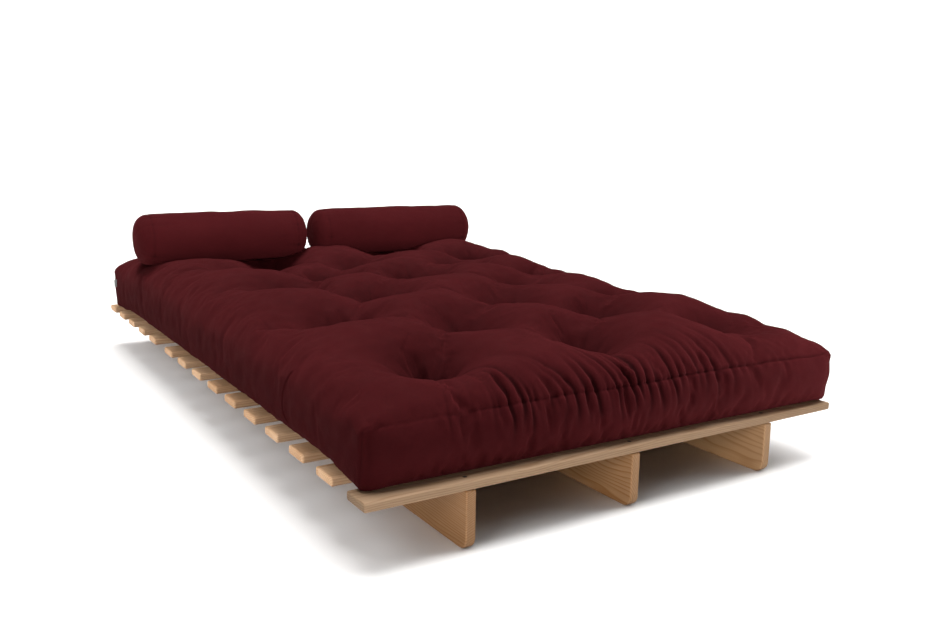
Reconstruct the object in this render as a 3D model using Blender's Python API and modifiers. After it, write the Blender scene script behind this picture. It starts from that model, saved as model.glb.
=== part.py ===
"""Low futon sofa bed: a slatted pine base in two sections, a tufted futon mattress and two bolsters.

The bed stands on z = 0, lies along Y with its foot at -Y and its head at +Y, and is shown flat.
The head section turns up about the hinge line to make a sofa back. All sizes are in metres.
"""

import math

import bmesh
import bpy
from mathutils import Matrix, Vector

# Driving dimensions
BED_WIDTH = 1.200
BED_LENGTH = 2.000
SLAT_WIDTH = 0.072
SLAT_THICKNESS = 0.018
SLAT_ROUNDING = 0.004
SEAT_SLATS = 10
BACK_SLATS = 5
FOLD_EXTRA_GAP = 0.044
PLANK_HEIGHT = 0.116
PLANK_THICKNESS = 0.021
PLANK_CORNER_RADIUS = 0.024
PLANK_EDGE_ROUNDING = 0.002
PLANK_OFFSET = 0.390
PLANK_END_CLEARANCE = 0.015
CLEARANCE = 0.0003
SOFA_ANGLE = math.radians(70)

MATTRESS_SIDE_INSET = 0.010
MATTRESS_END_INSET = 0.015
MATTRESS_EDGE_HEIGHT = 0.120
MATTRESS_CROWN_HEIGHT = 0.175
MATTRESS_CROWN_INSET = 0.110
MATTRESS_ROUNDING = 0.025
FOLD_CLEARANCE = 0.004

BOLSTER_RADIUS = 0.082
BOLSTER_DOME = 0.040
# centre x, centre y, length
BOLSTERS = {"left": (-0.309, 0.650, 0.562), "right": (0.288, 0.640, 0.608)}

HINGE_LEAF_THICKNESS = 0.003
HINGE_LEAF_WIDTH = 0.026
HINGE_LEAF_LENGTH = 0.110
HINGE_DISC_RADIUS = 0.018
HINGE_PIN_RADIUS = 0.004
HINGE_HEAD_RADIUS = 0.008
HINGE_HEAD_THICKNESS = 0.0025
HINGE_DISC_INSET = 0.0001

SCREW_HEAD_RADIUS = 0.0045
SCREW_SHANK_RADIUS = 0.0020
SCREW_HEAD_DEPTH = 0.0030
SCREW_LENGTH = 0.050
SCREW_FROM_FRONT = 0.024

LABEL_WIDTH = 0.009
LABEL_LENGTH = 0.024
LABEL_THICKNESS = 0.0012
LABEL_FROM_HEAD = 0.080
LABEL_HEIGHT = 0.085

# Places worked out from the driving dimensions
SLATS = SEAT_SLATS + BACK_SLATS
FOOT_Y = -BED_LENGTH / 2
HEAD_Y = BED_LENGTH / 2
DECK_TOP = PLANK_HEIGHT + SLAT_THICKNESS
SLAT_PITCH = (BED_LENGTH - SLAT_WIDTH - FOLD_EXTRA_GAP) / (SLATS - 1)
HINGE_Y = FOOT_Y + SLAT_PITCH * (SEAT_SLATS - 0.5) + (SLAT_WIDTH + FOLD_EXTRA_GAP) / 2
HINGE_Z = PLANK_HEIGHT - HINGE_DISC_RADIUS
PLANKS = {"left": -PLANK_OFFSET, "centre": 0.0, "right": PLANK_OFFSET}

PINE = ("pine", (0.62, 0.45, 0.28), 0.62, 0.0)
PINE_PLANK = ("pine_plank", (0.58, 0.41, 0.25), 0.62, 0.0)
FABRIC = ("burgundy_fabric", (0.085, 0.012, 0.018), 0.92, 0.0)
STEEL = ("zinc_steel", (0.56, 0.57, 0.58), 0.36, 1.0)
LABEL_CLOTH = ("label_cloth", (0.42, 0.42, 0.42), 0.85, 0.0)


def clear_scene():
    for obj in list(bpy.data.objects):
        bpy.data.objects.remove(obj, do_unlink=True)


def new_collection(name):
    collection = bpy.data.collections.new(name)
    bpy.context.scene.collection.children.link(collection)
    return collection


def new_material(obj, finish):
    """Gives the object its own Principled BSDF, in the finish's colour, roughness and metallic."""
    name, colour, roughness, metallic = finish
    material = bpy.data.materials.new(f"{name}_{obj.name}")
    material.use_nodes = True
    shader = material.node_tree.nodes["Principled BSDF"]
    shader.inputs["Base Color"].default_value = (*colour, 1.0)
    shader.inputs["Roughness"].default_value = roughness
    shader.inputs["Metallic"].default_value = metallic
    obj.data.materials.clear()
    obj.data.materials.append(material)


def place(obj, finish, parent=None):
    """Files the object in the part's collection, with its material and any joint it moves on."""
    parts.objects.link(obj)
    new_material(obj, finish)
    if parent is not None:
        obj.parent = parent
        obj.matrix_parent_inverse = Matrix.Translation(-parent.location)
    return obj


def joint_empty(name, location):
    empty = bpy.data.objects.new(name, None)
    empty.location = location
    parts.objects.link(empty)
    return empty


def box_mesh(name, size):
    mesh = bpy.data.meshes.new(name)
    bm = bmesh.new()
    bmesh.ops.create_cube(bm, size=1.0, matrix=Matrix.Diagonal((*size, 1.0)))
    bm.to_mesh(mesh)
    bm.free()
    return mesh


def add_bevel(obj, width, segments=2):
    bevel = obj.modifiers.new("rounded_edges", "BEVEL")
    bevel.width = width
    bevel.segments = segments
    bevel.limit_method = "ANGLE"
    bevel.angle_limit = math.radians(40)


def slat_y(index):
    """The centre of a slat, counted from the foot: the head section starts after the wider gap."""
    y = FOOT_Y + SLAT_WIDTH / 2 + index * SLAT_PITCH
    return y + FOLD_EXTRA_GAP if index >= SEAT_SLATS else y


def make_slats(back_joint):
    """Fifteen equal boards across the planks. The one at the foot is the front board."""
    slat_mesh = box_mesh("slat", (BED_WIDTH, SLAT_WIDTH, SLAT_THICKNESS - CLEARANCE))
    for index in range(SLATS):
        if index == 0:
            name, joint = "front_board", None
        elif index < SEAT_SLATS:
            name, joint = f"seat_slat_{index}", None
        else:
            name, joint = f"back_slat_{index - SEAT_SLATS + 1}", back_joint
        slat = bpy.data.objects.new(name, slat_mesh.copy())
        slat.location = (0, slat_y(index), DECK_TOP - (SLAT_THICKNESS - CLEARANCE) / 2)
        place(slat, PINE, joint)
        add_bevel(slat, SLAT_ROUNDING)
        if index == 0:
            drill_front_board(slat)


def drill_front_board(board):
    """Cuts a stepped hole through the front board over each plank, for its countersunk screw."""
    for side, x in PLANKS.items():
        cutter = stepped_pin(
            f"front_board_hole_{side}",
            SCREW_HEAD_RADIUS + CLEARANCE,
            SCREW_HEAD_DEPTH + CLEARANCE,
            SCREW_SHANK_RADIUS + CLEARANCE,
            SLAT_THICKNESS + 0.010,
            above=0.010,
        )
        cutter.location = (x, FOOT_Y + SCREW_FROM_FRONT, DECK_TOP)
        hide_cutter(cutter)
        add_cut(board, cutter)


def hide_cutter(cutter):
    cutter.hide_render = True
    cutter.display_type = "WIRE"
    cutters.objects.link(cutter)


def add_cut(obj, cutter):
    cut = obj.modifiers.new(cutter.name, "BOOLEAN")
    cut.operation = "DIFFERENCE"
    cut.object = cutter


def stepped_pin(name, head_radius, head_depth, shank_radius, shank_length, above=0.0, steps=16):
    """A turned piece about Z: a head that ends at z = above, over a narrower shank below it."""
    profile = (
        (0.0, above),
        (head_radius, above),
        (head_radius, -head_depth),
        (shank_radius, -head_depth),
        (shank_radius, -shank_length),
        (0.0, -shank_length),
    )
    return turned(name, profile, steps)


def turned(name, profile, steps):
    """Turns a profile of (radius, height) points, listed from top to bottom, about Z."""
    mesh = bpy.data.meshes.new(name)
    points = [Vector((radius, 0.0, height)) for radius, height in profile]
    mesh.from_pydata(points, [(i, i + 1) for i in range(len(points) - 1)], [])
    obj = bpy.data.objects.new(name, mesh)
    screw = obj.modifiers.new("turned", "SCREW")
    screw.steps = steps
    screw.render_steps = steps
    screw.use_merge_vertices = True
    screw.merge_threshold = 0.00005
    screw.use_smooth_shade = True
    return obj


def make_front_screws():
    """The three wood screws that hold the front board down on the planks' front ends."""
    for side, x in PLANKS.items():
        screw = stepped_pin(
            f"front_board_screw_{side}",
            SCREW_HEAD_RADIUS,
            SCREW_HEAD_DEPTH,
            SCREW_SHANK_RADIUS,
            SCREW_LENGTH,
            above=-0.0004,
        )
        screw.location = (x, FOOT_Y + SCREW_FROM_FRONT, DECK_TOP)
        place(screw, STEEL)


def plank_outline(name, length):
    """The plank's side as a flat closed curve: a rectangle whose two floor corners are arcs."""
    radius = PLANK_CORNER_RADIUS
    handle = radius * 4 / 3 * math.tan(math.pi / 8)
    height = PLANK_HEIGHT - 2 * CLEARANCE
    curve = bpy.data.curves.new(name, "CURVE")
    curve.dimensions = "2D"
    curve.fill_mode = "BOTH"
    curve.resolution_u = 6
    curve.extrude = PLANK_THICKNESS / 2
    spline = curve.splines.new("BEZIER")
    corners = (
        # point, offset of the left handle, offset of the right handle
        ((0, height), (0, -0.01), (0.01, 0)),
        ((length, height), (-0.01, 0), (0, -0.01)),
        ((length, radius), (0, 0.01), (0, -handle)),
        ((length - radius, 0), (handle, 0), (-0.01, 0)),
        ((radius, 0), (0.01, 0), (-handle, 0)),
        ((0, radius), (0, -handle), (0, 0.01)),
    )
    spline.bezier_points.add(len(corners) - 1)
    for point, (corner, left, right) in zip(spline.bezier_points, corners):
        point.handle_left_type = point.handle_right_type = "FREE"
        point.co = (*corner, 0)
        point.handle_left = (corner[0] + left[0], corner[1] + left[1], 0)
        point.handle_right = (corner[0] + right[0], corner[1] + right[1], 0)
    spline.use_cyclic_u = True
    return curve


def mesh_of_curve(curve, matrix):
    """A mesh object from a curve, with its loose caps welded on."""
    guide = bpy.data.objects.new("guide", curve)
    bpy.context.scene.collection.objects.link(guide)
    guide.matrix_world = matrix
    bpy.context.view_layer.update()
    evaluated = guide.evaluated_get(bpy.context.evaluated_depsgraph_get())
    mesh = bpy.data.meshes.new_from_object(evaluated)
    bm = bmesh.new()
    bm.from_mesh(mesh)
    bmesh.ops.remove_doubles(bm, verts=bm.verts, dist=0.00001)
    bmesh.ops.dissolve_limit(bm, angle_limit=math.radians(1), verts=bm.verts, edges=bm.edges)
    bm.to_mesh(mesh)
    bm.free()
    bpy.data.objects.remove(guide, do_unlink=True)
    return mesh


def make_planks(back_joint):
    """Three planks on edge under each section, in line, with a gap between their ends at the hinge."""
    seat_length = HINGE_Y - PLANK_END_CLEARANCE - FOOT_Y
    back_length = HEAD_Y - HINGE_Y - PLANK_END_CLEARANCE
    # The outline lies in local XY: local X runs along the bed, local Y up, and its thickness across.
    upright = Matrix(((0, 0, 1, 0), (1, 0, 0, 0), (0, 1, 0, 0), (0, 0, 0, 1)))
    sections = (
        ("seat", seat_length, FOOT_Y, None),
        ("back", back_length, HINGE_Y + PLANK_END_CLEARANCE, back_joint),
    )
    for section, length, start, joint in sections:
        outline = plank_outline(f"{section}_plank_outline", length)
        for side, x in PLANKS.items():
            plank = bpy.data.objects.new(f"{section}_plank_{side}", mesh_of_curve(outline, upright))
            plank.matrix_world = Matrix.Translation((x, start, 0)) @ upright
            place(plank, PINE_PLANK, joint)
            add_bevel(plank, PLANK_EDGE_ROUNDING, segments=1)
            if section == "seat":
                drill_plank_end(plank, side, x)


def drill_plank_end(plank, side, x):
    cutter = turned(
        f"seat_plank_hole_{side}",
        (
            (0.0, 0.010),
            (SCREW_SHANK_RADIUS + CLEARANCE, 0.010),
            (SCREW_SHANK_RADIUS + CLEARANCE, -SCREW_LENGTH - CLEARANCE),
            (0.0, -SCREW_LENGTH - CLEARANCE),
        ),
        steps=12,
    )
    cutter.location = (x, FOOT_Y + SCREW_FROM_FRONT, DECK_TOP)
    hide_cutter(cutter)
    add_cut(plank, cutter)


def disc(bm, radius, low, high, segments=32):
    """A round plate across X, centred on the hinge axis, from x = low to x = high."""
    matrix = Matrix.Translation(((low + high) / 2, 0, 0)) @ Matrix.Rotation(math.pi / 2, 4, "Y")
    bmesh.ops.create_cone(
        bm,
        cap_ends=True,
        segments=segments,
        radius1=radius,
        radius2=radius,
        depth=high - low,
        matrix=matrix,
    )


def solid_object(name, build):
    mesh = bpy.data.meshes.new(name)
    bm = bmesh.new()
    build(bm)
    bmesh.ops.recalc_face_normals(bm, faces=bm.faces)
    bm.to_mesh(mesh)
    bm.free()
    return bpy.data.objects.new(name, mesh)


def box(bm, low, high):
    size = Vector(high) - Vector(low)
    centre = (Vector(high) + Vector(low)) / 2
    bmesh.ops.create_cube(bm, size=1.0, matrix=Matrix.Translation(centre) @ Matrix.Diagonal((*size, 1.0)))


def joined(obj, helper):
    """Unites the helper's solid with the object's, and hides the helper."""
    hide_cutter(helper)
    union = obj.modifiers.new(helper.name, "BOOLEAN")
    union.operation = "UNION"
    union.object = helper


def bar(bm, profile, half_width):
    """A bar across Z from its closed profile of (x, y) points."""
    corners = [bm.verts.new((x, y, -half_width)) for x, y in profile]
    face = bm.faces.new(corners)
    side = bmesh.ops.extrude_face_region(bm, geom=[face])
    top = [element for element in side["geom"] if isinstance(element, bmesh.types.BMVert)]
    bmesh.ops.translate(bm, verts=top, vec=(0, 0, 2 * half_width))


def make_hinges(back_joint):
    """A ratchet hinge on the right face of each plank pair: two steel leaves side by side on a pin.

    The seat leaf lies on its plank. The back leaf's disc lies outside the seat leaf's, so its strap is
    cranked inwards, past the disc, to reach its own plank. x is measured out from the plank's face.
    """
    seat_in = CLEARANCE
    seat_out = seat_in + HINGE_LEAF_THICKNESS
    back_in = seat_out + CLEARANCE
    back_out = back_in + HINGE_LEAF_THICKNESS
    bend = HINGE_DISC_RADIUS + 0.002
    thin = HINGE_DISC_INSET
    tongue = HINGE_PIN_RADIUS + 0.002
    seat_profile = (
        (seat_in, -HINGE_LEAF_LENGTH),
        (seat_out, -HINGE_LEAF_LENGTH),
        (seat_out, -tongue),
        (seat_in, -tongue),
    )
    back_profile = (
        (back_in, tongue),
        (back_out, tongue),
        (back_out, bend + HINGE_LEAF_THICKNESS),
        (seat_out, bend + HINGE_LEAF_THICKNESS),
        (seat_out, HINGE_LEAF_LENGTH),
        (seat_in, HINGE_LEAF_LENGTH),
        (seat_in, bend),
        (back_in, bend),
    )
    sections = (
        ("seat", seat_profile, (seat_in + thin, seat_out - thin), None),
        ("back", back_profile, (back_in + thin, back_out - thin), back_joint),
    )
    for side, x in PLANKS.items():
        origin = Vector((x + PLANK_THICKNESS / 2, HINGE_Y, HINGE_Z))
        hole = solid_object(
            f"hinge_pin_hole_{side}",
            lambda bm: disc(bm, HINGE_PIN_RADIUS + CLEARANCE, -0.001, 0.020),
        )
        hole.location = origin
        hide_cutter(hole)
        for section, profile, (low, high), joint in sections:
            leaf = solid_object(
                f"hinge_{section}_leaf_{side}",
                lambda bm: disc(bm, HINGE_DISC_RADIUS, low, high),
            )
            strap = solid_object(
                f"hinge_{section}_strap_{side}",
                lambda bm: bar(bm, profile, HINGE_LEAF_WIDTH / 2),
            )
            leaf.location = strap.location = origin
            joined(leaf, strap)
            add_cut(leaf, hole)
            place(leaf, STEEL, joint)
        make_hinge_pin(side, origin, seat_in, back_out)


def make_hinge_pin(side, origin, low, high):
    """A rivet through both discs, with a head outside each."""
    head = CLEARANCE + HINGE_HEAD_THICKNESS
    inner = low - CLEARANCE
    pin = turned(
        f"hinge_pin_{side}",
        (
            (0.0, high + head),
            (HINGE_HEAD_RADIUS - 0.001, high + head),
            (HINGE_HEAD_RADIUS, high + head - 0.001),
            (HINGE_HEAD_RADIUS, high + CLEARANCE),
            (HINGE_PIN_RADIUS, high + CLEARANCE),
            (HINGE_PIN_RADIUS, inner),
            (HINGE_HEAD_RADIUS, inner),
            (HINGE_HEAD_RADIUS, inner - HINGE_HEAD_THICKNESS),
            (0.0, inner - HINGE_HEAD_THICKNESS),
        ),
        steps=24,
    )
    pin.location = origin
    pin.rotation_euler = (0, math.pi / 2, 0)
    place(pin, STEEL)


def mattress_section(name, foot_y, head_y, fold_side, parent):
    """One side of the fold as a closed cage: a flat base, upright sides and a raised crown.

    The end at the fold leans away from the hinge line by half the sofa angle at every height, so the
    two sections meet without overlapping when the back is up.
    """
    low = DECK_TOP + CLEARANCE
    edge = low + MATTRESS_EDGE_HEIGHT
    crown = low + MATTRESS_CROWN_HEIGHT
    half = BED_WIDTH / 2 - MATTRESS_SIDE_INSET
    lean = math.tan(SOFA_ANGLE / 2)

    def fold_end(z):
        return HINGE_Y + fold_side * ((z - HINGE_Z) * lean + FOLD_CLEARANCE)

    def build(bm):
        box(bm, (-half, foot_y, low), (half, head_y, edge))
        top = [face for face in bm.faces if face.normal.z > 0.9]
        bmesh.ops.inset_region(bm, faces=top, thickness=MATTRESS_CROWN_INSET)
        bmesh.ops.translate(bm, verts=top[0].verts[:], vec=(0, 0, crown - edge))
        for vert in bm.verts:
            at_fold = abs(vert.co.y - (head_y if fold_side < 0 else foot_y)) < 1e-6
            if at_fold:
                vert.co.y = fold_end(vert.co.z)
        for vert in top[0].verts:
            inner = (vert.co.y - (foot_y + head_y) / 2) * fold_side < 0
            if inner:
                vert.co.y = fold_end(crown) + fold_side * MATTRESS_ROUNDING

    section = solid_object(name, build)
    place(section, FABRIC, parent)
    add_bevel(section, MATTRESS_ROUNDING, segments=2)
    section.modifiers["rounded_edges"].angle_limit = math.radians(20)


def make_mattress(back_joint):
    mattress_section("mattress_seat", FOOT_Y + MATTRESS_END_INSET, HINGE_Y, -1, None)
    mattress_section("mattress_back", HINGE_Y, HEAD_Y - MATTRESS_END_INSET, 1, back_joint)


def make_bolsters(back_joint):
    """Two round bolsters side by side across the head section, each with domed ends."""
    dome_steps = 5
    for side, (x, y, length) in BOLSTERS.items():
        z = DECK_TOP + CLEARANCE + MATTRESS_CROWN_HEIGHT + CLEARANCE + BOLSTER_RADIUS
        lift = joint_empty(f"bolster_{side}_lift", (x, y, z))
        lift.parent = back_joint
        lift.matrix_parent_inverse = Matrix.Translation(-back_joint.location)
        dome = []
        for step in range(dome_steps + 1):
            angle = math.pi / 2 * step / dome_steps
            radius = BOLSTER_RADIUS * math.sin(angle) ** 0.6
            dome.append((radius, length / 2 - BOLSTER_DOME * (1 - math.cos(angle))))
        profile = dome + [(radius, -height) for radius, height in reversed(dome)]
        bolster = turned(f"bolster_{side}", profile, steps=32)
        bolster.rotation_euler = (0, math.pi / 2, 0)
        bolster.location = (x, y, z)
        place(bolster, FABRIC)
        bolster.parent = lift
        bolster.matrix_parent_inverse = Matrix.Translation(-lift.location)


def make_label(back_joint):
    """A small blank cloth tab sewn into the mattress's left side near the head."""
    label = bpy.data.objects.new(
        "label_tab", box_mesh("label_tab", (LABEL_WIDTH, LABEL_THICKNESS, LABEL_LENGTH))
    )
    side = -BED_WIDTH / 2 + MATTRESS_SIDE_INSET - CLEARANCE
    label.location = (side - LABEL_WIDTH / 2, HEAD_Y - LABEL_FROM_HEAD, DECK_TOP + LABEL_HEIGHT)
    place(label, LABEL_CLOTH, back_joint)


clear_scene()
parts = new_collection("futon_sofa_bed")
cutters = new_collection("cutters")
back_hinge = joint_empty("back_hinge", (0, HINGE_Y, HINGE_Z))
make_slats(back_hinge)
make_front_screws()
make_planks(back_hinge)
make_hinges(back_hinge)
make_mattress(back_hinge)
make_bolsters(back_hinge)
make_label(back_hinge)
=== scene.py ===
"""The looks of the futon sofa bed: raw pine, a tufted burgundy mattress and two bolsters.

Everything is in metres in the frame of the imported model: foot at -Y, head at +Y, floor at z = 0.
"""

import math

import bmesh
import bpy
import numpy as np
from mathutils import Matrix, Vector
from mathutils.bvhtree import BVHTree


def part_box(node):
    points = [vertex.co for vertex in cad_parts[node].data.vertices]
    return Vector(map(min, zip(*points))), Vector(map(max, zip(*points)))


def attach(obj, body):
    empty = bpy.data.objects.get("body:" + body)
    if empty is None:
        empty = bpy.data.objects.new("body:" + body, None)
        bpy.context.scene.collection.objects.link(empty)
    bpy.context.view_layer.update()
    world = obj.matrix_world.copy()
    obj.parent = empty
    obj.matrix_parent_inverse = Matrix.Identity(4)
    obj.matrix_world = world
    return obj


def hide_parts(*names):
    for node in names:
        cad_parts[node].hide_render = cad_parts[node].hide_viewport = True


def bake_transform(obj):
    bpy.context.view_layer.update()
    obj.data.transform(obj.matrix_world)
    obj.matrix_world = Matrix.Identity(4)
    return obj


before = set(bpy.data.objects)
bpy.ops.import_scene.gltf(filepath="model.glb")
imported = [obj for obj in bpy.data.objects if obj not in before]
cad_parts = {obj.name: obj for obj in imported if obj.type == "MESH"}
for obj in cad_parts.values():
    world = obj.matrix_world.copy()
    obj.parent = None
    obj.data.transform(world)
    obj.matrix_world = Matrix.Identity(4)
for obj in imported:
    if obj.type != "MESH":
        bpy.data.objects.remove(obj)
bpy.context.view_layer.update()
scene = bpy.context.scene

# Pieces and places read from the frame
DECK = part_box("front_board")[1].z
MATTRESS_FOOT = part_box("mattress_seat")[0].y
MATTRESS_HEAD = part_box("mattress_back")[1].y
SEAT_SLATS = sorted(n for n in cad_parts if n.startswith("seat_slat_"))
BACK_SLATS = sorted(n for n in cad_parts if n.startswith("back_slat_"))
PLANKS = sorted(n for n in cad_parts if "_plank_" in n)
SLAT_BOXES = [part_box(n) for n in ["front_board", *SEAT_SLATS, *BACK_SLATS]]

# Camera: where it aims, and from where
AIM = Vector((-0.0058, -0.400, 0.2875))
AIM_DISTANCE = 2.300
CAMERA_AZIMUTH = -32.61
CAMERA_ELEVATION = 11.40
CAMERA_ROLL = 1.01
LENS = 34.92

# Mattress: its place
MIDDLE = 0.010  # how far its middle lies to the right of the frame's
HALF_WIDTH = 0.596
FOOT_SEAM = MATTRESS_FOOT + 0.015
HEAD_SEAM = MATTRESS_HEAD - 0.013
REST = DECK + 0.0008
FOOT_SKEW = 0.010  # how far the foot is turned from square, at the sides
FOOT_FLARE = 0.009  # how much wider the right side is at the foot
# Mattress: its heights above where it rests
FOOT_EDGE = 0.115  # the sides' height in the foot's corners
EDGE_SWELL = 0.058  # what they gain away from the corners
HEAD_EDGE_RISE = 0.029  # what they gain towards the head
HEAD_LEAN = 0.019  # what the right side gains there, and the left side loses
HEADWARD_START, HEADWARD_LENGTH = -0.25, 0.75  # where along y that happens
CROWN = 0.053
HEAD_CROWN_LOSS = 0.034
# Mattress: roundings, and how the end panels stand
SHOULDER = 0.055
CORNER = 0.012
RIM, RIM_GROWTH = 0.010, 0.022
RIM_INSET = 0.009
CAP_BULGE = 0.013
# Mattress: its ties
TUFT_DEPTH = 0.140
TUFT_REACH = 0.079
# Mattress: its underside between the slats
SLAT_SAG = 0.0045
TIE_LIFT = 0.016
# Mattress: the ties' places, as y and then each x
TUFT_ROWS = (
    (-0.780, (-0.352, 0.024, 0.418)),
    (-0.590, (-0.155, 0.222)),
    (-0.410, (-0.372, 0.080, 0.438)),
    (-0.205, (-0.178, 0.284)),
    (-0.010, (-0.330, 0.046, 0.455)),
    (0.150, (-0.152, 0.280)),
    (0.330, (-0.310, 0.022, 0.440)),
    (0.510, (-0.180, 0.240)),
    (0.700, (-0.380, 0.390)),
    (0.770, (0.010,)),
    (0.855, (-0.190, 0.200)),
)
TUFTS = np.array([(x, y) for y, row in TUFT_ROWS for x in row])

# Bolsters: their names, and how much shorter and further right they are than the CAD's
BOLSTERS = ("bolster_left", "bolster_right")
BOLSTER_TRIM = {"bolster_left": 0.009, "bolster_right": 0.003}
BOLSTER_SHIFT = {"bolster_left": -0.001, "bolster_right": 0.005}


def smooth(t):
    t = np.clip(t, 0.0, 1.0)
    return t * t * (3 - 2 * t)


# ---------------------------------------------------------------- nodes of a material

class Nodes:
    """A small helper that adds shader nodes and links them."""

    def __init__(self, name):
        self.material = bpy.data.materials.new(name)
        self.material.use_nodes = True
        self.tree = self.material.node_tree
        self.tree.nodes.clear()
        self.output = self.tree.nodes.new("ShaderNodeOutputMaterial")
        self.shader = self.tree.nodes.new("ShaderNodeBsdfPrincipled")
        self.tree.links.new(self.shader.outputs[0], self.output.inputs["Surface"])

    def put(self, socket, value):
        if isinstance(value, bpy.types.NodeSocket):
            self.tree.links.new(value, socket)
        else:
            socket.default_value = value

    def add(self, kind, inputs=(), **settings):
        node = self.tree.nodes.new("ShaderNode" + kind)
        for key, value in settings.items():
            setattr(node, key, value)
        for key, value in dict(inputs).items():
            self.put(node.inputs[key], value)
        return node

    def math(self, operation, a, b=0.0, c=0.0):
        return self.add("Math", {0: a, 1: b, 2: c}, operation=operation).outputs[0]

    def times(self, a, b):
        return self.math("MULTIPLY", a, b)

    def plus(self, a, b):
        return self.math("ADD", a, b)

    def minus(self, a, b):
        return self.math("SUBTRACT", a, b)

    def wave(self, value, length):
        return self.math("SINE", self.times(value, 2 * math.pi / length))

    def position(self, scale=(1, 1, 1), shift=(0, 0, 0)):
        place = self.add("TexCoord").outputs["Object"]
        node = self.add("Mapping", {"Vector": place, "Scale": scale, "Location": shift})
        return node.outputs[0]

    def split(self, vector):
        return self.add("SeparateXYZ", {0: vector}).outputs

    def join(self, x, y, z):
        return self.add("CombineXYZ", {0: x, 1: y, 2: z}).outputs[0]

    def noise(self, vector, scale, detail=3.0, roughness=0.5, distortion=0.0):
        inputs = {"Vector": vector, "Scale": scale, "Detail": detail}
        inputs |= {"Roughness": roughness, "Distortion": distortion}
        return self.add("TexNoise", inputs).outputs["Fac"]

    def ramp(self, value, *stops):
        node = self.add("ValToRGB", {0: value})
        marks = node.color_ramp.elements
        while len(marks) < len(stops):
            marks.new(0.5)
        for mark, (place, colour) in zip(marks, stops):
            mark.position = place
            mark.color = (*colour, 1.0) if hasattr(colour, "__len__") else (colour,) * 3 + (1.0,)
        return node.outputs["Color"]

    def remap(self, value, low, high, to_low=0.0, to_high=1.0):
        inputs = {"Value": value, "From Min": low, "From Max": high}
        inputs |= {"To Min": to_low, "To Max": to_high}
        return self.add("MapRange", inputs).outputs[0]

    def mix(self, amount, a, b, blend="MIX"):
        node = self.add("Mix", data_type="RGBA", blend_type=blend)
        colours = [s for s in node.inputs if s.type == "RGBA"]
        self.put(node.inputs[0], amount)
        self.put(colours[0], a if not isinstance(a, tuple) else (*a, 1.0))
        self.put(colours[1], b if not isinstance(b, tuple) else (*b, 1.0))
        return next(s for s in node.outputs if s.type == "RGBA")

    def bump(self, height, distance, strength=1.0, under=None):
        inputs = {"Height": height, "Distance": distance, "Strength": strength}
        node = self.add("Bump", inputs)
        if under is not None:
            self.put(node.inputs["Normal"], under)
        return node.outputs[0]

    def finish(self, **sockets):
        """Links or sets the shader's sockets, named in small letters with _ for a space."""
        found = {socket.name.lower().replace(" ", "_"): socket for socket in self.shader.inputs}
        for name, value in sockets.items():
            self.put(found[name], value)
        return self.material


WARM_LIGHT = (1.0, 0.985, 0.965)
PLANK_LIGHT = (1.0, 0.83, 0.62)
WHITE_LIGHT = (1.0, 1.0, 1.0)

FABRIC_DARK = (0.044, 0.0050, 0.0062)
FABRIC_LIGHT = (0.062, 0.0076, 0.0094)
# painted shade: this dark colour is mixed into the cloth where a mesh attribute marks creases,
# seams and the ties' dimples
FABRIC_PAINTED_SHADE = (0.012, 0.0014, 0.0018)
SHEEN_TINT = (0.80, 0.12, 0.14)
PAINTED_SHADE_WEIGHT = "folds"
THREAD_PITCH = 0.0011


def fabric_material(name, weave_of):
    """Burgundy cotton drill. weave_of gives the two directions across the cloth, in metres."""
    n = Nodes(name)
    place = n.position()
    across, along = weave_of(n, place)
    warp = n.wave(across, THREAD_PITCH)
    weft = n.wave(along, THREAD_PITCH)
    weave = n.times(warp, weft)
    slub = n.noise(n.join(n.times(across, 0.12), along, 0.0), 900.0, 2.0)
    slub = n.plus(slub, n.noise(n.join(across, n.times(along, 0.12), 1.0), 900.0, 2.0))
    dye = n.noise(place, 5.0, 3.0, 0.55)
    lint = n.noise(place, 260.0, 2.0, 0.6)
    tone = n.plus(n.times(dye, 0.55), n.times(lint, 0.25))
    tone = n.plus(tone, n.times(slub, 0.12))
    tone = n.plus(tone, n.times(weave, 0.07))
    colour = n.ramp(tone, (0.30, FABRIC_DARK), (0.66, FABRIC_LIGHT))
    # painted shade: the cloth's colour is darkened in creases, seams and dimples, by the stored
    # weight
    fold = n.add("Attribute", attribute_name=PAINTED_SHADE_WEIGHT).outputs["Fac"]
    colour = n.mix(fold, colour, FABRIC_PAINTED_SHADE)
    rough = n.remap(n.noise(place, 30.0, 3.0), 0.3, 0.7, 0.80, 0.94)
    crinkle = n.bump(n.noise(place, 42.0, 4.0, 0.55, 0.4), 0.0022, 0.55)
    threads = n.plus(n.times(weave, 0.5), slub)
    normal = n.bump(threads, 0.00022, 0.7, crinkle)
    sheen = {"sheen_weight": 0.10, "sheen_roughness": 0.45, "sheen_tint": (*SHEEN_TINT, 1.0)}
    return n.finish(
        base_color=colour, roughness=rough, normal=normal, specular_ior_level=0.03, **sheen
    )


def flat_weave(n, place):
    """The weave's directions on a boxy piece: on the level in x and y, and up its sides in z."""
    x, y, z = n.split(place)
    facing = n.split(n.add("NewGeometry").outputs["Normal"])
    ends = n.math("GREATER_THAN", n.math("ABSOLUTE", facing[1]), 0.75)
    sides = n.math("GREATER_THAN", n.math("ABSOLUTE", facing[0]), 0.75)
    upright = n.math("MAXIMUM", ends, sides)
    across = n.add("Mix", {0: sides, 2: x, 3: y}).outputs[0]
    along = n.add("Mix", {0: upright, 2: y, 3: z}).outputs[0]
    return across, along


def round_weave(centre_y, centre_z, radius):
    """The weave's directions on a cylinder along X."""
    def directions(n, place):
        x, y, z = n.split(place)
        turn = n.math("ARCTAN2", n.minus(z, centre_z), n.minus(y, centre_y))
        return x, n.times(turn, radius)
    return directions


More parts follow.
